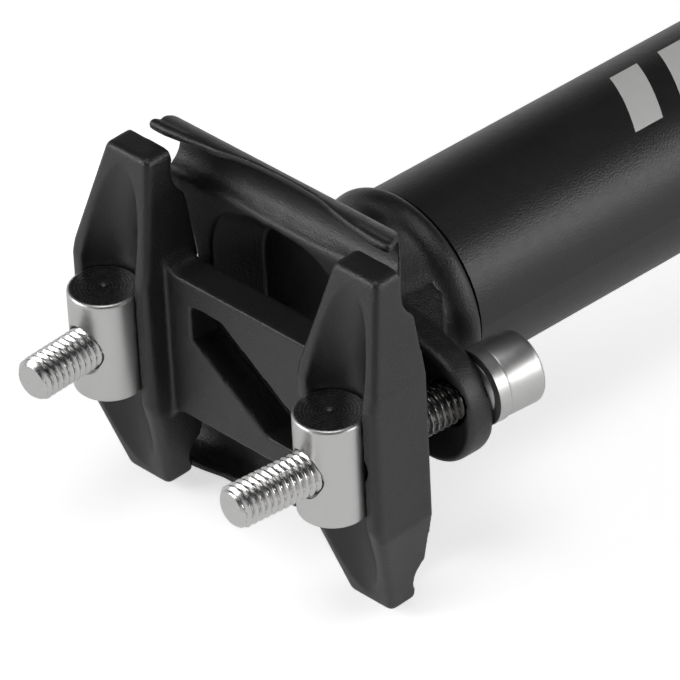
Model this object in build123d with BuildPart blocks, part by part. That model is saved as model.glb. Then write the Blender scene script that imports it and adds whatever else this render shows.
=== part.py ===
from build123d import *
import os
from math import cos, hypot, radians, sin, sqrt, tan

os.makedirs("parts", exist_ok=True)

# Two-bolt bicycle seatpost. Millimetres and degrees.
# The tube lies along +X with its lower end at the origin, the saddle rails run
# along Y when the saddle clamp is level, and Z is the sideways direction, up.

# Tube
post_length = 350.0
tube_od = 27.2
tube_wall = 2.2
tube_end_chamfer = 0.5

# Head, measured back from the rail plane
collar_back = 20.7
collar_proud = 1.25
collar_crest = 19.1
shadow_gap = 0.55
shadow_gap_depth = 0.75
spigot_length = 30.0
spigot_gap = 0.04
spigot_wall = 3.36
head_crown = 4.6
shoulder_inset = 0.2
shoulder_back = 16.2
neck_inset = 1.4
neck_back = 10.5
horn_inset = 1.7
horn_back = 5.0

# Rocker: the curved seat that lets the saddle clamp tilt about the pivot line
pivot_ahead = 7.5
rocker_r = 20.0
rocker_gap = 0.06
rocker_width = 30.0
clamp_tilt = 3.0

# Ears of the head
ear_front = 7.0
ear_thickness = 4.7
ear_tip_y = 26.4
ear_lobe_r = 8.7
ear_top_slope = 11.5
ear_low_z = 11.1
ear_root_back = 15.6
ear_root_top_z = 8.8
ear_root_low_z = 9.0
ear_root_inset = 4.6
ear_hole_r = 3.25
ear_round = 1.0
gusset_back_inset = 1.0
gusset_front_y = 18.4

# Saddle rails
rail_r = 3.5
rail_spacing = 44.0

# Lower cradle
cradle_length = 44.0
channel_wall = 1.2
end_round = 1.8
channel_edge_round = 1.7
lip_round = 0.45
lip_rise = 0.35
deck_top = 1.0
deck_thickness = 3.2
wing_under = 5.6
pocket_half_y = 14.2
pocket_half_z = 17.7
pocket_depth = 6.5
pocket_floor_share_y = 0.8
pocket_floor_share_z = 0.74
scallop_inner_y = 17.0
scallop_half_z = 16.2
lip_dip = 1.7
lip_dip_half_length = 11.5

# Upper clamp
nut_ahead = 12.5
nut_y = 20.6
nut_r = 4.85
nut_length = 15.2
nut_chamfer = 0.5
nut_gap = 0.1
bar_half_width = 7.0
bar_tip_half_width = 3.9
bar_half_span = 25.7
bar_front = 11.75
bar_back = 2.0
bar_flat_half = 9.5
bar_taper_from = 11.0
bar_front_round = 1.0
bar_tip_round = 1.2
bar_bend_round = 2.0
tip_front = 7.0
tip_back = 2.9
slot_shift = 0.9
slot_travel = 2.0
slot_half_height = 3.4
web_front = 8.0
web_thickness = 5.0
web_half_height = 10.9
web_corner = 2.6
web_root_depth = 1.6
window_half_y = 9.3
window_half_z = 7.2
window_band = 5.4
window_round = 0.9

# Bolts and washers
bolt_r = 3.0
bolt_hole_gap = 0.15
bolt_length = 41.0
bolt_tip_chamfer = 0.7
bolt_head_r = 5.1
bolt_head_height = 6.0
bolt_head_round = 0.6
socket_across_flats = 5.0
socket_depth = 3.2
swivel_back = 17.9
swivel_y = 22.95
swivel_gap = 0.05
seat_depth = 6.3
seat_r = 3.9
spot_face_gap = 0.2
washer_r = 5.25
washer_seam = 4.43

# Derived places
rail_x = post_length
tube_r = tube_od / 2
tube_bore_r = tube_r - tube_wall
collar_r = tube_r + collar_proud
head_bore_r = tube_bore_r - spigot_gap - spigot_wall
ear_root_y = tube_r - ear_root_inset
gusset_back_y = tube_r - gusset_back_inset
tube_end_x = rail_x - collar_back - shadow_gap
pivot = Vector(rail_x + pivot_ahead, 0, 0)
turn = Location((pivot.X, 0, 0), (0, 0, clamp_tilt)) * Location((-pivot_ahead, 0, 0))
rail_z = rail_spacing / 2
seat_x = pivot.X - rocker_r - rocker_gap
ear_back = ear_front + ear_thickness
ear_lobe_y = ear_tip_y - ear_lobe_r
ear_lobe_z = ear_lobe_r - ear_low_z
ear_shoulder_y = ear_lobe_y + ear_lobe_r * sin(radians(ear_top_slope))
ear_shoulder_z = ear_lobe_z + ear_lobe_r * cos(radians(ear_top_slope))
ear_root_z = ear_shoulder_z + (ear_shoulder_y - ear_root_y) * tan(radians(ear_top_slope))
channel_r = rail_r + channel_wall
swivel_r = hypot(seat_depth, seat_r)
trough_r = nut_r + nut_gap
clamp_x = Vector(cos(radians(clamp_tilt)), sin(radians(clamp_tilt)), 0)
clamp_y = Vector(-sin(radians(clamp_tilt)), cos(radians(clamp_tilt)), 0)
clamp_x_axis = Axis((0, 0, 0), clamp_x)
clamp_y_axis = Axis((0, 0, 0), clamp_y)
clamp_origin = pivot - clamp_x * pivot_ahead


# A plane given in the level clamp's own frame, as it lies in the tilted clamp
def on_clamp(plane):
    return Plane(turn * plane.location)


# How far a point lies ahead of the rails, along the tilted clamp's own first direction
def ahead(point):
    return (point - clamp_origin).dot(clamp_x)


# Centre of the barrel nut on one side, +1 front and -1 rear, in the tilted clamp
def nut_centre(side):
    dx = nut_ahead - pivot_ahead
    dy = side * nut_y
    c = cos(radians(clamp_tilt))
    s = sin(radians(clamp_tilt))
    return Vector(pivot.X + dx * c - dy * s, dx * s + dy * c, 0)


# Swivel centre of the domed washer on one side
def swivel_centre(side):
    return Vector(rail_x - swivel_back, side * swivel_y, 0)


# Unit vector along a bolt, from its head to its tip
def bolt_direction(side):
    return (nut_centre(side) - swivel_centre(side)).normalized()


# Tube
with BuildPart() as post_tube:
    with BuildSketch(Plane.YZ):
        Circle(tube_r)
        Circle(tube_bore_r, mode=Mode.SUBTRACT)
    extrude(amount=tube_end_x)
    chamfer(post_tube.edges().group_by(Axis.X)[0], tube_end_chamfer)

post_tube.part.label = "post_tube"
export_step(post_tube.part, "parts/post_tube.step")

# Head: two forged ears on a turned body with a collar and a spigot, a curved seat
with BuildPart() as head:
    # Ears: one outline on each side
    with BuildSketch(Plane.YZ.offset(rail_x - ear_back)):
        for side in (1, -1):
            with BuildLine():
                lobe = ThreePointArc(
                    (side * ear_shoulder_y, ear_shoulder_z),
                    (side * ear_tip_y, ear_lobe_z),
                    (side * ear_lobe_y, -ear_low_z),
                )
                Polyline(lobe @ 1, (side * ear_root_y, -ear_low_z), (side * ear_root_y, ear_root_z), lobe @ 0)
            make_face()
    extrude(amount=ear_thickness)
    rims = head.faces().filter_by(Axis.X).edges()
    fillet(rims.filter_by(lambda e: abs(e.center().Y) > ear_root_y + 0.1), ear_round)
    # Gussets thicken the ears toward the body
    for side in (1, -1):
        with BuildSketch(Plane.YZ.offset(rail_x - ear_root_back)):
            with BuildLine():
                Polyline(
                    (side * ear_root_y, ear_root_top_z),
                    (side * gusset_back_y, ear_root_top_z - 0.6),
                    (side * gusset_back_y, -ear_root_low_z),
                    (side * ear_root_y, -ear_root_low_z),
                    close=True,
                )
            make_face()
        with BuildSketch(Plane.YZ.offset(rail_x - ear_back + ear_round)):
            with BuildLine():
                Polyline(
                    (side * ear_root_y, ear_root_z),
                    (side * gusset_front_y, ear_shoulder_z),
                    (side * gusset_front_y, -ear_low_z),
                    (side * ear_root_y, -ear_low_z),
                    close=True,
                )
            make_face()
        loft(ruled=True)
    # Body turned about the tube's axis
    with BuildSketch(Plane.XY):
        with BuildLine():
            back = Polyline(
                (tube_end_x - spigot_length, 0),
                (tube_end_x - spigot_length, tube_bore_r - spigot_gap),
                (tube_end_x, tube_bore_r - spigot_gap),
                (tube_end_x, tube_r - shadow_gap_depth),
                (rail_x - collar_back, tube_r - shadow_gap_depth),
                (rail_x - collar_back, tube_r + 0.1),
            )
            rim = ThreePointArc(
                back @ 1,
                (rail_x - collar_back + 0.45, collar_r - 0.35),
                (rail_x - collar_crest, collar_r),
            )
            roll = ThreePointArc(
                rim @ 1,
                (rail_x - collar_crest + 1.3, collar_r - 0.4),
                (rail_x - collar_crest + 2.2, collar_r - 1.15),
            )
            flank = Polyline(
                roll @ 1,
                (rail_x - shoulder_back, tube_r - shoulder_inset),
                (rail_x - neck_back, tube_r - neck_inset),
                (rail_x - horn_back, tube_r - horn_inset),
            )
            Polyline(flank @ 1, (rail_x - horn_back, 0), (tube_end_x - spigot_length, 0))
        make_face()
    revolve(axis=Axis.X)
    # Curved seat for the rocker
    with BuildSketch(Plane.XY.offset(-2 * collar_r)):
        with Locations((pivot.X, 0)):
            Circle(rocker_r + rocker_gap)
    extrude(amount=4 * collar_r, mode=Mode.SUBTRACT)
    # Bolt holes and the domed seats behind them
    for side in (1, -1):
        with BuildSketch(Plane(swivel_centre(side), z_dir=bolt_direction(side))):
            Circle(ear_hole_r)
        extrude(amount=swivel_back, mode=Mode.SUBTRACT)
        with BuildSketch(Plane(swivel_centre(side), z_dir=bolt_direction(side))):
            Circle(washer_r + spot_face_gap)
        extrude(amount=seat_depth, mode=Mode.SUBTRACT)
        with Locations(swivel_centre(side)):
            Sphere(swivel_r, mode=Mode.SUBTRACT)
    # Blind bore from the tube side
    with BuildSketch(Plane.YZ.offset(tube_end_x - spigot_length)):
        Circle(head_bore_r)
    extrude(amount=seat_x - head_crown - tube_end_x + spigot_length, mode=Mode.SUBTRACT)

head.part.label = "head"
export_step(head.part, "parts/head.step")

# Half of the pocket's rim, in shares of its half sizes; the other half is the
# same turned end for end
pocket_half = [
    (-1.0, 0.0),
    (-1.0, 0.36),
    (-0.975, 0.68),
    (-0.86, 0.86),
    (-0.6, 0.975),
    (-0.27, 1.0),
    (0.07, 0.985),
    (0.3, 0.945),
    (0.5, 0.85),
    (0.74, 0.66),
    (0.92, 0.36),
]

# Lower cradle: two open channels for the rails, a deck with a sloping pocket
# between them, and a rocker underneath
with BuildPart() as lower_cradle:
    with BuildSketch(on_clamp(Plane.XZ.offset(-cradle_length / 2))):
        with BuildLine():
            Polyline(
                (-deck_top, rail_z),
                (-deck_top, -rail_z),
                (-wing_under + 0.2, -rail_z),
                (-wing_under, -rail_z + 2.0),
                (-wing_under, rail_z - 2.0),
                (-wing_under + 0.2, rail_z),
                close=True,
            )
        make_face()
        for side in (1, -1):
            with Locations((0, side * rail_z)):
                Circle(channel_r)
        with Locations((lip_rise + channel_r, 0)):
            Rectangle(2 * channel_r, 3 * rail_spacing, mode=Mode.SUBTRACT)
        with Locations((channel_r - deck_top, 0)):
            Rectangle(2 * channel_r, 2 * rail_z, mode=Mode.SUBTRACT)
        for side in (1, -1):
            with Locations((0, side * rail_z)):
                Circle(rail_r, mode=Mode.SUBTRACT)
    extrude(amount=cradle_length)
    soft = lower_cradle.edges().filter_by(clamp_y_axis).filter_by_position(
        Axis.Z, -rail_z + rail_r - 1.0, rail_z - rail_r + 1.0
    )
    fillet(soft.filter_by(lambda e: ahead(e.center()) > -deck_top - 0.1), channel_edge_round)
    lips = lower_cradle.edges().filter_by(clamp_y_axis)
    fillet(lips.filter_by(lambda e: ahead(e.center()) > lip_rise - 0.01), lip_round)
    # Ends rounded in plan
    with BuildSketch(on_clamp(Plane.XY.offset(-rail_spacing))):
        with Locations((lip_rise - channel_r, 0)):
            RectangleRounded(2 * channel_r, cradle_length, end_round)
    extrude(amount=2 * rail_spacing, mode=Mode.INTERSECT)
    # Room for the ears below the deck ends
    with BuildSketch(on_clamp(Plane.YZ.offset(-deck_top - deck_thickness))):
        with Locations((0, 0)):
            Rectangle(cradle_length + 2, 2 * ear_low_z + 2)
    extrude(amount=-10, mode=Mode.SUBTRACT)
    # Rocker block
    with BuildSketch(on_clamp(Plane.XY.offset(-rocker_width / 2))):
        with BuildLine():
            reach = sqrt(rocker_r**2 - (pivot_ahead + deck_top + 1.0) ** 2)
            ThreePointArc((-deck_top - 1.0, -reach), (pivot_ahead - rocker_r, 0), (-deck_top - 1.0, reach))
            Line((-deck_top - 1.0, reach), (-deck_top - 1.0, -reach))
        make_face()
    extrude(amount=rocker_width)
    # Sloping pocket in the deck
    for depth, share_y, share_z in (
        (0.0, 1.0, 1.0),
        (pocket_depth, pocket_floor_share_y, pocket_floor_share_z),
    ):
        with BuildSketch(on_clamp(Plane.YZ.offset(-deck_top - depth))):
            with BuildLine():
                Spline(
                    *[
                        (y * pocket_half_y * share_y, z * pocket_half_z * share_z)
                        for y, z in pocket_half + [(-y, -z) for y, z in pocket_half]
                    ],
                    periodic=True,
                )
            make_face()
    loft(mode=Mode.SUBTRACT)
    # Open scallops for the bolts in the deck's ends
    with BuildSketch(on_clamp(Plane.YZ.offset(2))):
        for side in (1, -1):
            with BuildLine():
                scallop = Spline(
                    (side * (cradle_length / 2 + 1.5), scallop_half_z),
                    (side * (scallop_inner_y + 4.2), 0.9 * scallop_half_z),
                    (side * (scallop_inner_y + 1.6), 0.7 * scallop_half_z),
                    (side * (scallop_inner_y + 0.4), 0.45 * scallop_half_z),
                    (side * scallop_inner_y, 0),
                    (side * (scallop_inner_y + 0.4), -0.45 * scallop_half_z),
                    (side * (scallop_inner_y + 1.6), -0.7 * scallop_half_z),
                    (side * (scallop_inner_y + 4.2), -0.9 * scallop_half_z),
                    (side * (cradle_length / 2 + 1.5), -scallop_half_z),
                )
                Line(scallop @ 1, scallop @ 0)
            make_face()
    extrude(amount=-16, mode=Mode.SUBTRACT)
    # Lips dip at mid length
    dip_r = (lip_dip**2 + lip_dip_half_length**2) / (2 * lip_dip)
    for side in (1, -1):
        with BuildSketch(on_clamp(Plane.XY.offset(side * (rail_z + rail_r - 0.8)))):
            with Locations((lip_rise - lip_dip + dip_r, 0)):
                Circle(dip_r)
        extrude(amount=side * channel_r, mode=Mode.SUBTRACT)

lower_cradle.part.label = "lower_cradle"
export_step(lower_cradle.part, "parts/lower_cradle.step")

# Upper clamp: two bars with nut troughs, joined by a web with a slanted opening
with BuildPart() as upper_clamp:
    with BuildSketch(on_clamp(Plane.YZ.offset(bar_back))):
        for mid in (nut_y, -nut_y):
            with BuildLine():
                Polyline(
                    (mid + bar_half_width, -bar_taper_from),
                    (mid + bar_half_width, bar_taper_from),
                    (mid + bar_tip_half_width, bar_half_span),
                    (mid - bar_tip_half_width, bar_half_span),
                    (mid - bar_half_width, bar_taper_from),
                    (mid - bar_half_width, -bar_taper_from),
                    (mid - bar_tip_half_width, -bar_half_span),
                    (mid + bar_tip_half_width, -bar_half_span),
                    close=True,
                )
            make_face()
    extrude(amount=bar_front - bar_back)
    # The front falls away toward the tips and the back is stepped at the hooks
    with BuildSketch(on_clamp(Plane.XZ)):
        for end in (1, -1):
            with BuildLine():
                Polyline(
                    (bar_front, end * bar_flat_half),
                    (tip_front, end * bar_half_span),
                    (tip_front, end * (bar_half_span + 1)),
                    (bar_front + 1, end * (bar_half_span + 1)),
                    (bar_front + 1, end * bar_flat_half),
                    close=True,
                )
            make_face()
            with BuildLine():
                Polyline(
                    (bar_back - 1, end * rail_z),
                    (tip_back, end * rail_z),
                    (tip_back, end * (bar_half_span + 1)),
                    (bar_back - 1, end * (bar_half_span + 1)),
                    close=True,
                )
            make_face()
    extrude(amount=rail_spacing, both=True, mode=Mode.SUBTRACT)
    # Soft corners and rims, before anything is cut into the bars
    tips = upper_clamp.edges().filter_by(clamp_x_axis).group_by(Axis.Z)
    fillet(tips[0] + tips[-1], bar_tip_round)
    bends = upper_clamp.edges().filter_by(clamp_x_axis)
    fillet(bends.filter_by_position(Axis.Z, -bar_taper_from - 0.1, bar_taper_from + 0.1), bar_bend_round)
    fillet(upper_clamp.edges().filter_by(lambda e: ahead(e.center()) > tip_front - 0.1), bar_front_round)
    # Web between the bars, flared where it meets them
    with BuildSketch(on_clamp(Plane.YZ.offset(web_front - web_thickness))):
        with BuildLine():
            root = nut_y - bar_half_width + web_root_depth
            flare_z = web_half_height + web_corner
            flare_y = root - web_root_depth - web_corner + 0.5
            for end in (1, -1):
                Line((-flare_y, end * web_half_height), (flare_y, end * web_half_height))
                for side in (1, -1):
                    ThreePointArc(
                        (side * flare_y, end * web_half_height),
                        (
                            side * (flare_y + web_corner * sin(radians(45))),
                            end * (flare_z - web_corner * cos(radians(45))),
                        ),
                        (side * (flare_y + web_corner), end * flare_z),
                    )
                    Line((side * (flare_y + web_corner), end * flare_z), (side * root, end * flare_z))
            Line((root, flare_z), (root, -flare_z))
            Line((-root, flare_z), (-root, -flare_z))
        make_face()
    extrude(amount=web_thickness)
    # Slanted opening through the web
    with BuildSketch(on_clamp(Plane.YZ.offset(web_front + 1))) as window:
        with BuildLine():
            Polyline(
                (-window_half_y, window_half_z),
                (-window_half_y + window_band, window_half_z),
                (window_half_y, -window_half_z + window_band),
                (window_half_y, -window_half_z),
                (window_half_y - window_band, -window_half_z),
                (-window_half_y, window_half_z - window_band),
                close=True,
            )
        make_face()
        fillet(window.vertices(), window_round)
    extrude(amount=-web_thickness - 2, mode=Mode.SUBTRACT)
    # Nut troughs and rail grooves
    with BuildSketch(on_clamp(Plane.XY.offset(-rail_spacing))):
        with Locations((nut_ahead, nut_y), (nut_ahead, -nut_y)):
            Circle(trough_r)
    extrude(amount=2 * rail_spacing, mode=Mode.SUBTRACT)
    with BuildSketch(on_clamp(Plane.XZ.offset(-rail_spacing))):
        with Locations((0, rail_z), (0, -rail_z)):
            Circle(rail_r)
    extrude(amount=2 * rail_spacing, mode=Mode.SUBTRACT)
    # Long holes for the bolts
    with BuildSketch(on_clamp(Plane.YZ.offset(bar_back - 1))):
        with Locations((nut_y + slot_shift, 0), (-nut_y - slot_shift, 0)):
            SlotCenterToCenter(slot_travel, 2 * slot_half_height)
    extrude(amount=nut_ahead, mode=Mode.SUBTRACT)

upper_clamp.part.label = "upper_clamp"
export_step(upper_clamp.part, "parts/upper_clamp.step")

# Barrel nuts: each has a cross hole along its bolt
with BuildPart() as front_barrel_nut:
    with BuildSketch(Plane.XY.offset(-nut_length / 2)):
        with Locations(nut_centre(1)):
            Circle(nut_r)
    extrude(amount=nut_length)
    chamfer(front_barrel_nut.edges().filter_by(GeomType.CIRCLE), nut_chamfer)
    with BuildSketch(Plane(nut_centre(1) - bolt_direction(1) * 10, z_dir=bolt_direction(1))):
        Circle(bolt_r + bolt_hole_gap)
    extrude(amount=20, mode=Mode.SUBTRACT)

front_barrel_nut.part.label = "front_barrel_nut"
export_step(front_barrel_nut.part, "parts/front_barrel_nut.step")

with BuildPart() as rear_barrel_nut:
    with BuildSketch(Plane.XY.offset(-nut_length / 2)):
        with Locations(nut_centre(-1)):
            Circle(nut_r)
    extrude(amount=nut_length)
    chamfer(rear_barrel_nut.edges().filter_by(GeomType.CIRCLE), nut_chamfer)
    with BuildSketch(Plane(nut_centre(-1) - bolt_direction(-1) * 10, z_dir=bolt_direction(-1))):
        Circle(bolt_r + bolt_hole_gap)
    extrude(amount=20, mode=Mode.SUBTRACT)

rear_barrel_nut.part.label = "rear_barrel_nut"
export_step(rear_barrel_nut.part, "parts/rear_barrel_nut.step")


# Half outline of a socket head bolt, head end first, along its own axis
def bolt_outline():
    head_start = washer_seam - bolt_head_height
    tip = washer_seam + bolt_length
    Polyline(
        (head_start, 0),
        (head_start, bolt_head_r - bolt_head_round),
        (head_start + bolt_head_round, bolt_head_r),
        (washer_seam, bolt_head_r),
        (washer_seam, bolt_r),
        (tip - bolt_tip_chamfer, bolt_r),
        (tip, bolt_r - bolt_tip_chamfer),
        (tip, 0),
        close=True,
    )


# Half outline of a domed washer, flat side first, dome toward the ear
def washer_outline():
    dome_r = swivel_r - swivel_gap
    bore = bolt_r + bolt_hole_gap
    face_x = seat_depth - 2 * swivel_gap
    foot_r = seat_r - swivel_gap
    foot_x = sqrt(dome_r**2 - foot_r**2)
    bore_x = sqrt(dome_r**2 - bore**2)
    half_r = (foot_r + bore) / 2
    flat = Polyline(
        (foot_x, foot_r),
        (face_x, foot_r),
        (face_x, washer_r),
        (washer_seam, washer_r),
        (washer_seam, bore),
        (bore_x, bore),
    )
    ThreePointArc(flat @ 1, (sqrt(dome_r**2 - half_r**2), half_r), flat @ 0)


with BuildPart() as front_bolt:
    with BuildSketch(Plane(swivel_centre(1), x_dir=bolt_direction(1), z_dir=(0, 0, 1))):
        with BuildLine():
            bolt_outline()
        make_face()
    revolve(axis=Axis(swivel_centre(1), bolt_direction(1)))
    with BuildSketch(
        Plane(
            swivel_centre(1) + bolt_direction(1) * (washer_seam - bolt_head_height),
            x_dir=(0, 0, 1),
            z_dir=bolt_direction(1),
        )
    ):
        RegularPolygon(socket_across_flats / 2, 6, major_radius=False)
    extrude(amount=socket_depth, mode=Mode.SUBTRACT)

front_bolt.part.label = "front_bolt"
export_step(front_bolt.part, "parts/front_bolt.step")

with BuildPart() as rear_bolt:
    with BuildSketch(Plane(swivel_centre(-1), x_dir=bolt_direction(-1), z_dir=(0, 0, 1))):
        with BuildLine():
            bolt_outline()
        make_face()
    revolve(axis=Axis(swivel_centre(-1), bolt_direction(-1)))
    with BuildSketch(
        Plane(
            swivel_centre(-1) + bolt_direction(-1) * (washer_seam - bolt_head_height),
            x_dir=(0, 0, 1),
            z_dir=bolt_direction(-1),
        )
    ):
        RegularPolygon(socket_across_flats / 2, 6, major_radius=False)
    extrude(amount=socket_depth, mode=Mode.SUBTRACT)

rear_bolt.part.label = "rear_bolt"
export_step(rear_bolt.part, "parts/rear_bolt.step")

with BuildPart() as front_washer:
    with BuildSketch(Plane(swivel_centre(1), x_dir=bolt_direction(1), z_dir=(0, 0, 1))):
        with BuildLine():
            washer_outline()
        make_face()
    revolve(axis=Axis(swivel_centre(1), bolt_direction(1)))

front_washer.part.label = "front_washer"
export_step(front_washer.part, "parts/front_washer.step")

with BuildPart() as rear_washer:
    with BuildSketch(Plane(swivel_centre(-1), x_dir=bolt_direction(-1), z_dir=(0, 0, 1))):
        with BuildLine():
            washer_outline()
        make_face()
    revolve(axis=Axis(swivel_centre(-1), bolt_direction(-1)))

rear_washer.part.label = "rear_washer"
export_step(rear_washer.part, "parts/rear_washer.step")
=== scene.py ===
from math import cos, hypot, pi, radians, sin

import bmesh
import bpy
from mathutils import Matrix, Vector


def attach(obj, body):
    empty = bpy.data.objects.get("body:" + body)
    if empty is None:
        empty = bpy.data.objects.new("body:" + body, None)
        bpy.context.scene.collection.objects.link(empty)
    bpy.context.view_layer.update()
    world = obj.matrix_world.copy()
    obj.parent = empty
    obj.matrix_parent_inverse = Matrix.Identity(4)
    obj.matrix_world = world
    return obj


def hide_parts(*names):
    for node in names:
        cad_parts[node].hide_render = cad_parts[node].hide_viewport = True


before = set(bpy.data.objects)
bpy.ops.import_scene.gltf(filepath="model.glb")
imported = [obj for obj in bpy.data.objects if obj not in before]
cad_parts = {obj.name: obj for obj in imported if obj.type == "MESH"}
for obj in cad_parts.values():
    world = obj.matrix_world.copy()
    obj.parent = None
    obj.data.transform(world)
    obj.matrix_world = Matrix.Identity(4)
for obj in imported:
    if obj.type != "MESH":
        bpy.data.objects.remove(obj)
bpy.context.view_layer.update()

# The seatpost lies along +X with the saddle clamp at the far end. All lengths are in metres.

MM = 0.001
RAIL_X = 350.0 * MM
SWIVEL_BACK = 17.9 * MM
SWIVEL_Y = 22.95 * MM
PIVOT_AHEAD = 7.5 * MM
NUT_AHEAD = 12.5 * MM
NUT_Y = 20.6 * MM
CLAMP_TILT = radians(3.0)
RAIL_Z = 22.0 * MM
NUT_R = 4.85 * MM
NUT_LENGTH = 15.2 * MM
BOLT_R = 3.0 * MM
WASHER_SEAM = 4.43 * MM
BOLT_LENGTH = 41.0 * MM
TUBE_R = 13.6 * MM


def nut_centre(side):
    dx, dy = NUT_AHEAD - PIVOT_AHEAD, side * NUT_Y
    c, s = cos(CLAMP_TILT), sin(CLAMP_TILT)
    return Vector((RAIL_X + PIVOT_AHEAD + dx * c - dy * s, dx * s + dy * c, 0))


def swivel_centre(side):
    return Vector((RAIL_X - SWIVEL_BACK, side * SWIVEL_Y, 0))


# The saddle clamp turns about the pivot by the tilt at which it was photographed
PIVOT = Vector((RAIL_X + PIVOT_AHEAD, 0, 0))
CLAMP_PLACE = (
    Matrix.Translation(PIVOT) @ Matrix.Rotation(CLAMP_TILT, 4, "Z") @ Matrix.Translation((-PIVOT_AHEAD, 0, 0))
)


# Local frame of a bolt: X runs from the swivel centre to the tip
def bolt_frame(side):
    along = (nut_centre(side) - swivel_centre(side)).normalized()
    up = Vector((0, 0, 1))
    across = up.cross(along)
    turn = Matrix((along, across, up)).transposed().to_4x4()
    return Matrix.Translation(swivel_centre(side)) @ turn


# Finishes

BLACK = (0.012, 0.012, 0.0125)
BLACK_LOW = (0.009, 0.009, 0.0095)
FORGED_HIGH = (0.017, 0.017, 0.018)
TUBE_HIGH = (0.016, 0.016, 0.017)
ANODISED_SPECULAR = 0.55
PRINT_PALE = (0.62, 0.62, 0.61)
TURNED_STEEL = (0.60, 0.595, 0.59)
POLISHED_STEEL = (0.62, 0.615, 0.61)
SHADED_THREAD_STEEL = (0.07, 0.068, 0.065)
# Painted shade: dark steel colour for the thread where it lies in shade near the ear
FACED_STEEL = (0.34, 0.335, 0.33)
RING_LOW = (0.20, 0.197, 0.194)
RING_HIGH = (0.40, 0.395, 0.39)
RING_PITCH = 1.6 * MM
TOOL_LINES = 0.09 * MM
TOOL_DEPTH = 0.0016 * MM

# Print on the tube: bars that lean with the arc, inside a span of X and a span of the arc
PRINT_LEAN = 0.45
PRINT_STEP = 9.0 * MM
PRINT_BAR = 5.2 * MM
PRINT_SPAN = (247 * MM, 301 * MM)
PRINT_ARC = (13.5 * MM, 23.5 * MM)

# The thread carries painted shade before the first X and is plain steel after the second
THREAD_SHADE_SPAN = (344 * MM, 354 * MM)


class Finish:
    """A procedural finish on Object coordinates, with bumps laid over one another."""

    def __init__(self, name, colour, roughness, metallic=0.0):
        self.material = bpy.data.materials.new(name)
        self.material.use_nodes = True
        self.tree = self.material.node_tree
        self.shader = self.tree.nodes["Principled BSDF"]
        self.shader.inputs["Base Color"].default_value = (*colour, 1)
        self.shader.inputs["Roughness"].default_value = roughness
        self.shader.inputs["Metallic"].default_value = metallic
        self.coords = self.node("ShaderNodeTexCoord").outputs["Object"]
        self.normal = None

    def node(self, kind, **settings):
        made = self.tree.nodes.new(kind)
        for key, value in settings.items():
            setattr(made, key, value)
        return made

    def link(self, a, b):
        self.tree.links.new(a, b)

    def maths(self, operation, a, b=0.0):
        made = self.node("ShaderNodeMath", operation=operation)
        for socket, value in zip(made.inputs, (a, b)):
            if isinstance(value, (int, float)):
                socket.default_value = value
            else:
                self.link(value, socket)
        return made.outputs[0]

    def placed(self, centre=(0, 0, 0), scale=(1, 1, 1)):
        made = self.node("ShaderNodeMapping", vector_type="POINT")
        made.inputs["Scale"].default_value = scale
        made.inputs["Location"].default_value = [-c * s for c, s in zip(centre, scale)]
        self.link(self.coords, made.inputs["Vector"])
        return made.outputs[0]

    def noise(self, size, detail=2.0, roughness=0.5, vector=None):
        made = self.node("ShaderNodeTexNoise")
        made.inputs["Scale"].default_value = 1.0 / size
        made.inputs["Detail"].default_value = detail
        made.inputs["Roughness"].default_value = roughness
        self.link(vector or self.coords, made.inputs["Vector"])
        return made.outputs["Fac"]

    def range(self, value, low, high, from_low=0.0, from_high=1.0):
        made = self.node("ShaderNodeMapRange")
        made.inputs["From Min"].default_value = from_low
        made.inputs["From Max"].default_value = from_high
        made.inputs["To Min"].default_value = low
        made.inputs["To Max"].default_value = high
        self.link(value, made.inputs["Value"])
        return made.outputs[0]

    def between(self, value, low, high):
        above = self.maths("GREATER_THAN", value, low)
        return self.maths("MULTIPLY", above, self.maths("LESS_THAN", value, high))

    def feed(self, name, value):
        self.link(value, self.shader.inputs[name])

    def bump(self, height, depth):
        made = self.node("ShaderNodeBump")
        made.inputs["Strength"].default_value = 1.0
        made.inputs["Distance"].default_value = depth
        self.link(height, made.inputs["Height"])
        if self.normal:
            self.link(self.normal, made.inputs["Normal"])
        self.normal = made.outputs[0]

    def done(self):
        if self.normal:
            self.feed("Normal", self.normal)
        return self.material


def tint(finish, mask, low, high):
    mix = finish.node("ShaderNodeMix", data_type="RGBA")
    mix.inputs[6].default_value = (*low, 1)
    mix.inputs[7].default_value = (*high, 1)
    finish.link(mask, mix.inputs[0])
    return mix.outputs[2]


# Blasted and black anodised aluminium of the forged parts
def forged_black(name, grain, depth):
    finish = Finish(name, BLACK, 0.4)
    finish.feed("Base Color", tint(finish, finish.noise(6 * MM, 3.0), BLACK_LOW, FORGED_HIGH))
    finish.feed("Roughness", finish.range(finish.noise(2.5 * MM, 4.0), 0.27, 0.42))
    finish.shader.inputs["Specular IOR Level"].default_value = ANODISED_SPECULAR
    finish.bump(finish.noise(3.0 * MM, 2.0), 0.06 * MM)
    finish.bump(finish.noise(grain, 3.0, 0.6), depth)
    return finish.done()


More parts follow.
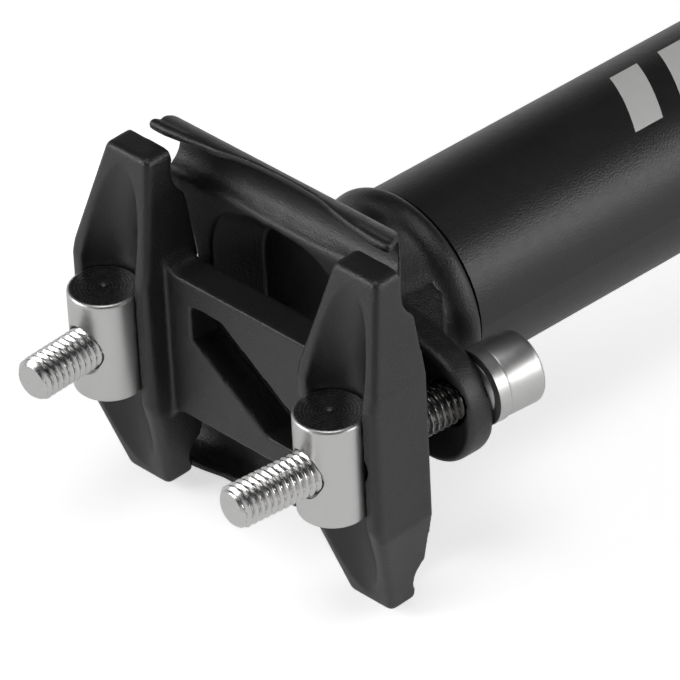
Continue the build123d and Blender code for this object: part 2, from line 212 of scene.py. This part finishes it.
# The drawn tube: fine blasted grain, with a plain pale print of slanted bars
def tube_black():
    finish = Finish("tube_black_anodised", BLACK, 0.36)
    split = finish.node("ShaderNodeSeparateXYZ")
    finish.link(finish.coords, split.inputs[0])
    around = finish.maths("ARCTAN2", split.outputs[2], split.outputs[1])
    arc = finish.maths("MULTIPLY", around, TUBE_R)
    slant = finish.maths("ADD", split.outputs[0], finish.maths("MULTIPLY", arc, PRINT_LEAN))
    step = finish.maths("MODULO", finish.maths("ADD", slant, 1.0), PRINT_STEP)
    bar = finish.maths("LESS_THAN", step, PRINT_BAR)
    inside = finish.maths("MULTIPLY", finish.between(slant, *PRINT_SPAN), finish.between(arc, *PRINT_ARC))
    ink = finish.maths("MULTIPLY", bar, inside)
    black = tint(finish, finish.noise(8 * MM, 3.0), BLACK_LOW, TUBE_HIGH)
    mix = finish.node("ShaderNodeMix", data_type="RGBA")
    finish.link(ink, mix.inputs[0])
    finish.link(black, mix.inputs[6])
    mix.inputs[7].default_value = (*PRINT_PALE, 1)
    finish.feed("Base Color", mix.outputs[2])
    finish.feed("Roughness", finish.range(finish.noise(1.5 * MM, 3.0), 0.32, 0.44))
    finish.shader.inputs["Specular IOR Level"].default_value = ANODISED_SPECULAR
    finish.bump(finish.noise(0.26 * MM, 2.0, 0.6), 0.055 * MM)
    return finish.done()


# Turned bright steel of the nuts, with fine lines round their axis
def turned_steel(name):
    finish = Finish(name, TURNED_STEEL, 0.36, 1.0)
    squeezed = finish.placed(scale=(0.04, 0.04, 1.0))
    finish.bump(finish.noise(TOOL_LINES, 2.0, 0.5, squeezed), TOOL_DEPTH)
    finish.feed("Roughness", finish.range(finish.noise(1.2 * MM, 3.0), 0.31, 0.43))
    return finish.done()


# The faced end of a nut: concentric tool rings about its centre
def faced_steel(name, centre):
    finish = Finish(name, FACED_STEEL, 0.26, 1.0)
    rings = finish.node("ShaderNodeTexWave", wave_type="RINGS", rings_direction="Z")
    rings.inputs["Scale"].default_value = 1.0 / RING_PITCH
    rings.inputs["Distortion"].default_value = 0.3
    finish.link(finish.placed(centre), rings.inputs["Vector"])
    finish.feed("Base Color", tint(finish, rings.outputs["Fac"], RING_LOW, RING_HIGH))
    finish.bump(rings.outputs["Fac"], 0.012 * MM)
    finish.feed("Roughness", finish.range(finish.noise(0.8 * MM, 3.0), 0.2, 0.34))
    return finish.done()


# The rolled thread is bright at its free end and has painted shade, a dark steel colour, where it passes
# through the clamp
def thread_steel(name):
    finish = Finish(name, TURNED_STEEL, 0.26, 1.0)
    split = finish.node("ShaderNodeSeparateXYZ")
    finish.link(finish.coords, split.inputs[0])
    # Painted shade: the thread is coloured dark near the ear, where it lies in shade
    out_of_shade = finish.range(split.outputs[0], 0.0, 1.0, *THREAD_SHADE_SPAN)
    finish.feed("Base Color", tint(finish, out_of_shade, SHADED_THREAD_STEEL, TURNED_STEEL))
    finish.feed("Roughness", finish.range(finish.noise(1.2 * MM, 3.0), 0.20, 0.32))
    finish.bump(finish.noise(TOOL_LINES, 2.0), TOOL_DEPTH)
    return finish.done()


# Polished steel of the bolt heads and washers
def polished_steel(name):
    finish = Finish(name, POLISHED_STEEL, 0.36, 1.0)
    finish.feed("Roughness", finish.range(finish.noise(1.0 * MM, 4.0), 0.30, 0.44))
    finish.bump(finish.noise(0.25 * MM, 3.0), 0.0015 * MM)
    return finish.done()


HEAD_BLACK = forged_black("head_black_anodised", 0.27 * MM, 0.08 * MM)
CRADLE_BLACK = forged_black("cradle_black_anodised", 0.26 * MM, 0.08 * MM)
CLAMP_BLACK = forged_black("clamp_black_anodised", 0.26 * MM, 0.08 * MM)
TUBE_BLACK = tube_black()
NUT_SIDE = turned_steel("nut_turned_steel")
BOLT_STEEL = polished_steel("bolt_polished_steel")
THREAD_STEEL = thread_steel("rolled_thread_steel")
WASHER_STEEL = polished_steel("washer_polished_steel")


# Pieces


def new_piece(name, mesh):
    piece = bpy.data.objects.new(name, mesh)
    bpy.context.scene.collection.objects.link(piece)
    return piece


def plain_mesh(piece):
    made = bpy.data.meshes.new_from_object(piece.evaluated_get(bpy.context.evaluated_depsgraph_get()))
    piece.modifiers.clear()
    old = piece.data
    piece.data = made
    bpy.data.meshes.remove(old)
    return made


def tidy(mesh, place=None):
    work = bmesh.new()
    work.from_mesh(mesh)
    bmesh.ops.remove_doubles(work, verts=work.verts, dist=1e-6)
    if place:
        bmesh.ops.transform(work, matrix=place, verts=work.verts)
    bmesh.ops.recalc_face_normals(work, faces=work.faces)
    work.to_mesh(mesh)
    work.free()


def node_object(node):
    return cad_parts[node]


# Adds the faces between neighbouring rings of vertices
def bridge(work, rings):
    for one, two in zip(rings, rings[1:]):
        count = len(one)
        for i in range(count):
            j = (i + 1) % count
            work.faces.new((one[i], one[j], two[j], two[i]))


def finished(work, name):
    mesh = bpy.data.meshes.new(name)
    work.to_mesh(mesh)
    work.free()
    return mesh


def cut_with(piece, cutter):
    cut = piece.modifiers.new("cut", "BOOLEAN")
    cut.operation = "DIFFERENCE"
    cut.solver = "EXACT"
    cut.object = cutter


# Relief of a rail channel: half its length, and in millimetres its radius at the ends, what the
# middle adds to the radius and how far the middle's axis rises
RELIEF_REACH = 13.0 * MM
RELIEF_R, RELIEF_WIDEN, RELIEF_RISE = 3.45, 0.72, 0.95
RELIEF_SIDES = 64


# Cutter that widens the middle of one rail channel, in the tilted frame of the saddle clamp
def channel_relief(side):
    work = bmesh.new()
    rings = []
    for step in range(-26, 27):
        y = step * 0.5 * MM
        share = 0.5 + 0.5 * cos(pi * y / RELIEF_REACH)
        share = min(1.0, 1.6 * share)
        radius, rise = (RELIEF_R + RELIEF_WIDEN * share) * MM, RELIEF_RISE * MM * share
        ring = []
        for i in range(RELIEF_SIDES):
            angle = 2 * pi * i / RELIEF_SIDES
            place = Vector((rise + radius * cos(angle), y, side * RAIL_Z + radius * sin(angle)))
            ring.append(work.verts.new(place))
        rings.append(ring)
    bridge(work, rings)
    work.faces.new(rings[0])
    work.faces.new(rings[-1])
    mesh = finished(work, "channel_relief")
    tidy(mesh, CLAMP_PLACE)
    return new_piece("channel_relief", mesh)


# Outline of the cutter at the wing ends, in the clamp's frame: X and Y in millimetres
WING_END = (
    (3.4, 27), (3.4, 21.0), (1.5, 20.9), (0.0, 20.5), (-1.2, 19.9), (-2.4, 19.1),
    (-3.6, 18.0), (-4.8, 16.6), (-6.4, 14.4), (-12.0, 14.4), (-12, 27),
)
WING_CUT_HALF = 30 * MM


# Cutter that sweeps back the front ends of the cradle's wings
def wing_end_sweep():
    work = bmesh.new()
    top = [work.verts.new((x * MM, y * MM, WING_CUT_HALF)) for x, y in WING_END]
    low = [work.verts.new((x * MM, y * MM, -WING_CUT_HALF)) for x, y in WING_END]
    bridge(work, [top, low])
    work.faces.new(top)
    work.faces.new(low)
    mesh = finished(work, "wing_end_sweep")
    tidy(mesh, CLAMP_PLACE)
    return new_piece("wing_end_sweep", mesh)


# Roll at the end of a cradle lip, in millimetres: distance from its end and radius there, where
# its axis lies, and how far from mid length its front and rear ends are
ROLL_STATIONS = (
    (0.0, 0.0), (0.05, 0.32), (0.25, 0.6), (0.5, 0.75), (0.8, 0.8),
    (3.0, 0.8), (6.0, 0.72), (9.0, 0.5), (12.0, 0.2), (12.2, 0.0),
)
ROLL_X, ROLL_Z = 0.6, 26.1
ROLL_FRONT, ROLL_REAR = 20.9, 22.6
ROLL_SIDES = 24


# Thick rounded end of a cradle lip: a roll along the clamp's Y that thins out towards mid length
def lip_roll(work, side, end, reach):
    rings = []
    for run, radius in ROLL_STATIONS:
        y = end * (reach - run)
        sink = max(0.0, run - 3.0) * 0.1
        ring = []
        for i in range(ROLL_SIDES):
            angle = 2 * pi * i / ROLL_SIDES
            x = ROLL_X - sink + radius * cos(angle)
            z = side * (ROLL_Z + radius * sin(angle))
            ring.append(work.verts.new(CLAMP_PLACE @ (Vector((x, y, z)) * MM)))
        rings.append(ring)
    bridge(work, rings)


def lip_rolls():
    work = bmesh.new()
    for side in (1, -1):
        lip_roll(work, side, 1, ROLL_FRONT)
        lip_roll(work, side, -1, ROLL_REAR)
    mesh = finished(work, "lip_rolls")
    tidy(mesh)
    return mesh


# Smoothing steps of a forged skin, and the share of its faces that is kept
RELAX_STEPS = 14
KEEP = 0.42


# A forged part: its node's solid, remeshed finely and relaxed so that every edge is soft
def forged(name, node, material, voxel, cutters=(), rolls=None):
    mesh = node_object(node).data.copy()
    tidy(mesh)
    piece = new_piece(name, mesh)
    for cutter in cutters:
        cut_with(piece, cutter)
    if rolls:
        work = bmesh.new()
        work.from_mesh(plain_mesh(piece))
        work.from_mesh(rolls)
        work.to_mesh(piece.data)
        work.free()
    remesh = piece.modifiers.new("skin", "REMESH")
    remesh.mode = "VOXEL"
    remesh.voxel_size = voxel
    relaxed = piece.modifiers.new("relax", "SMOOTH")
    relaxed.factor = 0.5
    relaxed.iterations = RELAX_STEPS
    thin = piece.modifiers.new("thin", "DECIMATE")
    thin.ratio = KEEP
    mesh = plain_mesh(piece)
    for cutter in cutters:
        bpy.data.objects.remove(cutter)
    mesh.name = name
    mesh.materials.clear()
    mesh.materials.append(material)
    mesh.shade_smooth()
    return piece


# Tree of the screw thread: a grid wrapped round X, whose radius follows the helix
def thread_tree(material):
    tree = bpy.data.node_groups.new("rolled_thread", "GeometryNodeTree")
    for name, kind, value in (
        ("Rows", "NodeSocketInt", 420),
        ("Segments", "NodeSocketInt", 48),
        ("Length", "NodeSocketFloat", BOLT_LENGTH),
        ("Pitch", "NodeSocketFloat", 1.0 * MM),
        ("Crest Radius", "NodeSocketFloat", BOLT_R),
        ("Root Radius", "NodeSocketFloat", 2.48 * MM),
        ("Thread From", "NodeSocketFloat", 9.0 * MM),
        ("Tip Chamfer", "NodeSocketFloat", 0.7 * MM),
    ):
        tree.interface.new_socket(name, in_out="INPUT", socket_type=kind).default_value = value
    tree.interface.new_socket("Geometry", in_out="OUTPUT", socket_type="NodeSocketGeometry")
    given = tree.nodes.new("NodeGroupInput").outputs

    def put(node, index, value):
        if isinstance(value, (int, float)):
            node.inputs[index].default_value = value
        else:
            tree.links.new(value, node.inputs[index])

    def maths(operation, a, b=0.0, c=0.0, clamp=False):
        node = tree.nodes.new("ShaderNodeMath")
        node.operation = operation
        node.use_clamp = clamp
        for index, value in enumerate((a, b, c)):
            put(node, index, value)
        return node.outputs[0]

    grid = tree.nodes.new("GeometryNodeMeshGrid")
    put(grid, "Size X", 1.0)
    put(grid, "Size Y", 1.0)
    put(grid, "Vertices X", given["Rows"])
    put(grid, "Vertices Y", maths("ADD", given["Segments"], 1.0))
    place = tree.nodes.new("GeometryNodeInputPosition")
    split = tree.nodes.new("ShaderNodeSeparateXYZ")
    put(split, 0, place.outputs[0])
    last = maths("SUBTRACT", given["Rows"], 1.0)
    row = maths("MULTIPLY", maths("ADD", split.outputs[0], 0.5), last)
    inner = maths("SUBTRACT", given["Rows"], 3.0)
    share = maths("DIVIDE", maths("SUBTRACT", row, 1.0), inner, clamp=True)
    run = maths("MULTIPLY", share, given["Length"])
    turn = maths("ADD", split.outputs[1], 0.5)
    # The first and last rows close the ends on the axis
    after_first = maths("GREATER_THAN", row, 0.5)
    before_last = maths("LESS_THAN", row, maths("SUBTRACT", last, 0.5))
    solid = maths("MULTIPLY", after_first, before_last)
    # Flanks of the thread as a triangle wave with a flat crest and a rounded root
    phase = maths("FRACT", maths("ADD", maths("SUBTRACT", maths("DIVIDE", run, given["Pitch"]), turn), 8.0))
    flank = maths("ABSOLUTE", maths("SUBTRACT", maths("MULTIPLY", phase, 2.0), 1.0))
    rise = maths("SMOOTH_MIN", maths("MULTIPLY", flank, 1.18), 1.0, 0.12)
    height = maths("SUBTRACT", given["Crest Radius"], given["Root Radius"])
    depth = maths("MULTIPLY", maths("SUBTRACT", 1.0, rise), height)
    fade = maths("DIVIDE", maths("SUBTRACT", run, given["Thread From"]), given["Pitch"], clamp=True)
    cut = maths("SUBTRACT", given["Crest Radius"], maths("MULTIPLY", depth, fade))
    to_tip = maths("SUBTRACT", given["Length"], run)
    slope = maths("ADD", maths("SUBTRACT", given["Crest Radius"], given["Tip Chamfer"]), to_tip)
    radius = maths("MULTIPLY", maths("MINIMUM", cut, slope), solid)
    angle = maths("MULTIPLY", turn, 2 * pi)
    joined = tree.nodes.new("ShaderNodeCombineXYZ")
    put(joined, 0, run)
    put(joined, 1, maths("MULTIPLY", radius, maths("COSINE", angle)))
    put(joined, 2, maths("MULTIPLY", radius, maths("SINE", angle)))
    moved = tree.nodes.new("GeometryNodeSetPosition")
    put(moved, "Geometry", grid.outputs["Mesh"])
    put(moved, "Position", joined.outputs[0])
    merged = tree.nodes.new("GeometryNodeMergeByDistance")
    put(merged, "Geometry", moved.outputs[0])
    put(merged, "Distance", 1e-6)
    real = tree.nodes.new("GeometryNodeRealizeInstances")
    put(real, 0, merged.outputs[0])
    painted = tree.nodes.new("GeometryNodeSetMaterial")
    put(painted, "Geometry", real.outputs[0])
    painted.inputs["Material"].default_value = material
    out = tree.nodes.new("NodeGroupOutput")
    put(out, 0, painted.outputs[0])
    return tree


def identifier(tree, name):
    return next(s.identifier for s in tree.interface.items_tree if s.name == name and s.in_out == "INPUT")


# Rows of rings joined into a closed skin; each row is an x and a radius at each angle
def ringed(name, rows, segments, material):
    work = bmesh.new()
    rings = []
    for x, radius in rows:
        ring = []
        for i in range(segments):
            angle = 2 * pi * i / segments
            ring.append(work.verts.new((x, radius(angle) * cos(angle), radius(angle) * sin(angle))))
        rings.append(ring)
    bridge(work, rings)
    mesh = finished(work, name)
    tidy(mesh)
    mesh.materials.append(material)
    return mesh


def even(radius):
    return lambda angle: radius


def hexagon(across_flats):
    return lambda angle: across_flats / 2 / cos((angle + pi / 6) % (pi / 3) - pi / 6)


BOLT_HEAD_R = 5.1 * MM
BOLT_HEAD_HEIGHT = 6.0 * MM
BOLT_HEAD_ROUND = 0.7 * MM
HEXAGON = 5.0 * MM
# How far inside the head the shank starts, and how far along the shank its thread starts
SHANK_SUNK = 1.0 * MM
THREAD_FROM = 6.0 * MM


# Socket head: a rounded drum with a hexagon socket and a small countersink at its mouth
def bolt_head(name, material):
    r, seam = BOLT_HEAD_R, WASHER_SEAM
    back = seam - BOLT_HEAD_HEIGHT
    rows = [
        (back + 3.4 * MM, even(0.0)),
        (back + 3.0 * MM, even(1.6 * MM)),
        (back + 2.75 * MM, hexagon(4.96 * MM)),
        (back + 2.7 * MM, hexagon(HEXAGON)),
        (back + 0.42 * MM, hexagon(HEXAGON)),
        (back + 0.34 * MM, hexagon(5.06 * MM)),
        (back + 0.05 * MM, even(3.05 * MM)),
        (back, even(3.16 * MM)),
        (back, even(r - 0.82 * MM)),
    ]
    for step in range(7):
        a = step * pi / 12
        x = back + BOLT_HEAD_ROUND * (1 - cos(a))
        rows.append((x, even(r - BOLT_HEAD_ROUND + BOLT_HEAD_ROUND * sin(a))))
    rows += [
        (back + 1.2 * MM, even(r)),
        (seam - 0.42 * MM, even(r)),
        (seam - 0.20 * MM, even(r - 0.05 * MM)),
        (seam - 0.06 * MM, even(r - 0.2 * MM)),
        (seam, even(r - 0.34 * MM)),
        (seam, even(2.0 * MM)),
        (seam, even(0.0)),
    ]
    return ringed(name, rows, 96, material)


def screw_bolt(side, name, node, body, tree):
    head = bolt_head(name, BOLT_STEEL)
    seed = bpy.data.meshes.new(name + "_thread")
    piece = new_piece(name, seed)
    made = piece.modifiers.new("thread", "NODES")
    made.node_group = tree
    made[identifier(tree, "Length")] = BOLT_LENGTH + SHANK_SUNK
    made[identifier(tree, "Thread From")] = THREAD_FROM
    shank = plain_mesh(piece)
    tidy(shank, Matrix.Translation((WASHER_SEAM - SHANK_SUNK, 0, 0)) @ Matrix.Rotation(0.6 * side, 4, "X"))
    work = bmesh.new()
    work.from_mesh(head)
    for face in work.faces:
        face.material_index = 0
    before = len(work.faces)
    work.from_mesh(shank)
    work.faces.ensure_lookup_table()
    for face in work.faces[before:]:
        face.material_index = 1
    bmesh.ops.transform(work, matrix=bolt_frame(side), verts=work.verts)
    mesh = finished(work, name)
    mesh.materials.append(BOLT_STEEL)
    mesh.materials.append(THREAD_STEEL)
    piece.data = mesh
    mesh.shade_smooth()
    sharp(mesh, 32)
    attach(piece, body)
    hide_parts(node)
    return piece


# Edges that turn by more than an angle shade as edges
def sharp(mesh, degrees):
    work = bmesh.new()
    work.from_mesh(mesh)
    for edge in work.edges:
        if len(edge.link_faces) == 2 and edge.calc_face_angle() > radians(degrees):
            edge.smooth = False
    work.to_mesh(mesh)
    work.free()


NUT_RIM = 0.55 * MM
NUT_SEGMENTS = 96
# Cross hole of a nut with a countersink at each mouth: place along the bolt and radius, in millimetres
NUT_HOLE = ((-9, 0.0), (-9, 4.6), (-4.45, 3.5), (-4.1, 3.15), (4.1, 3.15), (4.45, 3.5), (9, 4.6), (9, 0.0))


# Barrel nut: a turned drum with rolled rims, faced ends with a centre mark, and a cross hole
def barrel_nut(side, name, node, body):
    half = NUT_LENGTH / 2
    profile = [(-0.16 * MM, 0.0), (0.0, 0.32 * MM)]
    profile += [(0.0, r * MM) for r in (1.0, 1.8, 2.6, 3.4, 4.0)]
    for step in range(6):
        a = step * pi / 10
        profile.append((-NUT_RIM * (1 - cos(a)), NUT_R - NUT_RIM + NUT_RIM * sin(a)))
    rows = [(half + x, even(r)) for x, r in profile]
    rows += [(half * k, even(NUT_R)) for k in (0.6, 0.2, -0.2, -0.6)]
    rows += [(-half - x, even(r)) for x, r in reversed(profile)]
    mesh = ringed(name, rows, NUT_SEGMENTS, NUT_SIDE)
    upright = Matrix.Translation(nut_centre(side)) @ Matrix.Rotation(-pi / 2, 4, "Y")
    tidy(mesh, upright)
    mesh.materials.append(faced_steel(name + "_faced_steel", nut_centre(side)))
    piece = new_piece(name, mesh)
    cutter_rows = [(x * MM, even(r * MM)) for x, r in NUT_HOLE]
    cutter_mesh = ringed(name + "_cutter", cutter_rows, 64, NUT_SIDE)
    place = bolt_frame(side)
    place.translation = nut_centre(side)
    tidy(cutter_mesh, place)
    cutter = new_piece(name + "_cutter", cutter_mesh)
    cut_with(piece, cutter)
    mesh = plain_mesh(piece)
    bpy.data.objects.remove(cutter)
    for face in mesh.polygons:
        at_end = abs(face.normal.z) > 0.97 and abs(face.center.z) > half - 0.3 * MM
        face.material_index = 1 if at_end else 0
    mesh.shade_smooth()
    sharp(mesh, 30)
    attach(piece, body)
    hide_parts(node)
    return piece


# Washer seats in the dressed head, from the swivel centre: the span of X in which they lie, and
# the dome, face and rim that they keep clear
SEAT_SPAN = (5.5 * MM, 7.6 * MM)
SEAT_DOME = 7.53 * MM
SEAT_FACE = 6.44 * MM
SEAT_RIM = 5.7 * MM


# Gives the washers a little more room to swivel in their seats
def clear_seats(mesh):
    for side in (1, -1):
        place = bolt_frame(side)
        back = place.inverted()
        for vertex in mesh.vertices:
            local = back @ vertex.co
            radial = hypot(local.y, local.z)
            if not SEAT_SPAN[0] < local.x < SEAT_SPAN[1] or radial > SEAT_RIM:
                continue
            if local.length < SEAT_DOME:
                local *= SEAT_DOME / local.length
            if local.x < SEAT_FACE:
                local.x = SEAT_FACE
            vertex.co = place @ local


for name, node, material, body, slot, voxel, shaped in (
    ("forged_head", "head", HEAD_BLACK, "post", "head_black", 0.22 * MM, False),
    ("rail_cradle", "lower_cradle", CRADLE_BLACK, "saddle_clamp", "cradle_black", 0.20 * MM, True),
    ("rail_clamp", "upper_clamp", CLAMP_BLACK, "saddle_clamp", "clamp_black", 0.20 * MM, False),
):
    cutters = [channel_relief(1), channel_relief(-1), wing_end_sweep()] if shaped else []
    piece = forged(name, node, material, voxel, cutters, lip_rolls() if shaped else None)
    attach(piece, body)
    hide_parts(node)

clear_seats(bpy.data.objects["forged_head"].data)

THREAD = thread_tree(THREAD_STEEL)
for side, end in ((1, "front"), (-1, "rear")):
    screw_bolt(side, end + "_socket_bolt", end + "_bolt", end + "_bolt", THREAD)
    barrel_nut(side, end + "_cross_nut", end + "_barrel_nut", end + "_nut")

for node, material in (
    ("post_tube", TUBE_BLACK),
    ("front_washer", WASHER_STEEL),
    ("rear_washer", WASHER_STEEL),
):
    for slot in node_object(node).material_slots:
        slot.material = material


# Stage, light and camera

# The floor lies just under the tube and falls towards the wider clamp
FLOOR_DROP = 26.75 * MM - TUBE_R
FLOOR_RUN = 350.6 * MM
FLOOR_GAP = 0.05 * MM
FLOOR_REACH = 3.0


def floor_corner(x, y):
    return (x, y, -TUBE_R - x * FLOOR_DROP / FLOOR_RUN - FLOOR_GAP)


floor_mesh = bpy.data.meshes.new("studio_floor")
corners = [floor_corner(x * FLOOR_REACH, y * FLOOR_REACH) for x, y in ((-1, -1), (1, -1), (1, 1), (-1, 1))]
floor_mesh.from_pydata(corners, [], [(0, 1, 2, 3)])
floor = new_piece("studio_floor", floor_mesh)
paper = bpy.data.materials.new("white_paper")
paper.use_nodes = True
tree = paper.node_tree
tree.nodes.clear()
diffuse = tree.nodes.new("ShaderNodeBsdfDiffuse")
diffuse.inputs["Color"].default_value = (0.9, 0.9, 0.9, 1)
glow = tree.nodes.new("ShaderNodeEmission")
glow.inputs["Color"].default_value = (1, 1, 1, 1)
path = tree.nodes.new("ShaderNodeLightPath")
seen = tree.nodes.new("ShaderNodeMath")
seen.operation = "MAXIMUM"
tree.links.new(path.outputs["Is Camera Ray"], seen.inputs[0])
dimmed = tree.nodes.new("ShaderNodeMath")
dimmed.operation = "MULTIPLY"
dimmed.inputs[1].default_value = 0.35
tree.links.new(path.outputs["Is Glossy Ray"], dimmed.inputs[0])
tree.links.new(dimmed.outputs[0], seen.inputs[1])
strength = tree.nodes.new("ShaderNodeMath")
strength.operation = "MULTIPLY"
strength.inputs[1].default_value = 0.62
tree.links.new(seen.outputs[0], strength.inputs[0])
tree.links.new(strength.outputs[0], glow.inputs["Strength"])
both = tree.nodes.new("ShaderNodeAddShader")
tree.links.new(diffuse.outputs[0], both.inputs[0])
tree.links.new(glow.outputs[0], both.inputs[1])
out = tree.nodes.new("ShaderNodeOutputMaterial")
tree.links.new(both.outputs[0], out.inputs["Surface"])
floor_mesh.materials.append(paper)

# World: a white room up to a little above the floor, dark overhead
world = bpy.data.worlds.new("studio")
bpy.context.scene.world = world
world.use_nodes = True
tree = world.node_tree
tree.nodes.clear()
coords = tree.nodes.new("ShaderNodeTexCoord")
split = tree.nodes.new("ShaderNodeSeparateXYZ")
tree.links.new(coords.outputs["Generated"], split.inputs[0])
ramp = tree.nodes.new("ShaderNodeValToRGB")
ramp.color_ramp.elements[0].position = 0.05
ramp.color_ramp.elements[0].color = (0.95, 0.95, 0.95, 1)
ramp.color_ramp.elements[1].position = 0.32
ramp.color_ramp.elements[1].color = (0.03, 0.03, 0.031, 1)
tree.links.new(split.outputs[2], ramp.inputs[0])
path = tree.nodes.new("ShaderNodeLightPath")
room = tree.nodes.new("ShaderNodeBackground")
tree.links.new(ramp.outputs[0], room.inputs["Color"])
room.inputs["Strength"].default_value = 0.85
white = tree.nodes.new("ShaderNodeBackground")
white.inputs["Color"].default_value = (1, 1, 1, 1)
white.inputs["Strength"].default_value = 1.0
choose = tree.nodes.new("ShaderNodeMixShader")
tree.links.new(path.outputs["Is Camera Ray"], choose.inputs[0])
tree.links.new(room.outputs[0], choose.inputs[1])
tree.links.new(white.outputs[0], choose.inputs[2])
out = tree.nodes.new("ShaderNodeOutputWorld")
tree.links.new(choose.outputs[0], out.inputs["Surface"])


LIGHT_AIM = Vector((0.345, 0, 0))


def softbox(name, towards, distance, width, height, power):
    light = bpy.data.lights.new(name, "AREA")
    light.shape = "RECTANGLE"
    light.size = width
    light.size_y = height
    light.energy = power
    lamp = bpy.data.objects.new(name, light)
    away = Vector(towards).normalized()
    lamp.location = LIGHT_AIM + away * distance
    lamp.rotation_euler = away.to_track_quat("Z", "Y").to_euler()
    bpy.context.scene.collection.objects.link(lamp)


softbox("softbox_right", (-0.53, 0.80, 0.36), 0.9, 0.8, 0.3, 3.3)
softbox("softbox_left", (0.75, -0.55, 0.45), 0.9, 0.6, 0.4, 3.8)
softbox("softbox_top", (0.1, 0.1, 1.0), 1.1, 0.6, 0.6, 3.0)

# Camera at the photograph's viewing angle
AZIMUTH, ELEVATION, ROLL = 0.8662, 0.6165, 0.0526
DISTANCE = 899.0 * MM
FOCAL_PIXELS = 7035.94
FRAME_PIXELS = 680.0
AIM_PIXEL = (216.594, 394.674)
AIM = Vector((362.5 * MM, 0, 0))
back = Vector((cos(ELEVATION) * cos(AZIMUTH), cos(ELEVATION) * sin(AZIMUTH), sin(ELEVATION)))
level = (-back).cross(Vector((0, 0, 1))).normalized()
down = (-back).cross(level)
right = cos(ROLL) * level + sin(ROLL) * down
down = -sin(ROLL) * level + cos(ROLL) * down
camera_data = bpy.data.cameras.new("camera")
camera_data.sensor_width = 36.0
camera_data.lens = FOCAL_PIXELS / FRAME_PIXELS * 36.0
camera_data.clip_start = 0.05
camera_data.clip_end = 20.0
camera = bpy.data.objects.new("camera", camera_data)
bpy.context.scene.collection.objects.link(camera)
offset = [(p - FRAME_PIXELS / 2) * DISTANCE / FOCAL_PIXELS for p in AIM_PIXEL]
place = AIM + back * DISTANCE - offset[0] * right - offset[1] * down
camera.matrix_world = Matrix.Translation(place) @ Matrix((right, -down, back)).transposed().to_4x4()
bpy.context.scene.camera = camera
bpy.context.scene.view_settings.view_transform = "Standard"
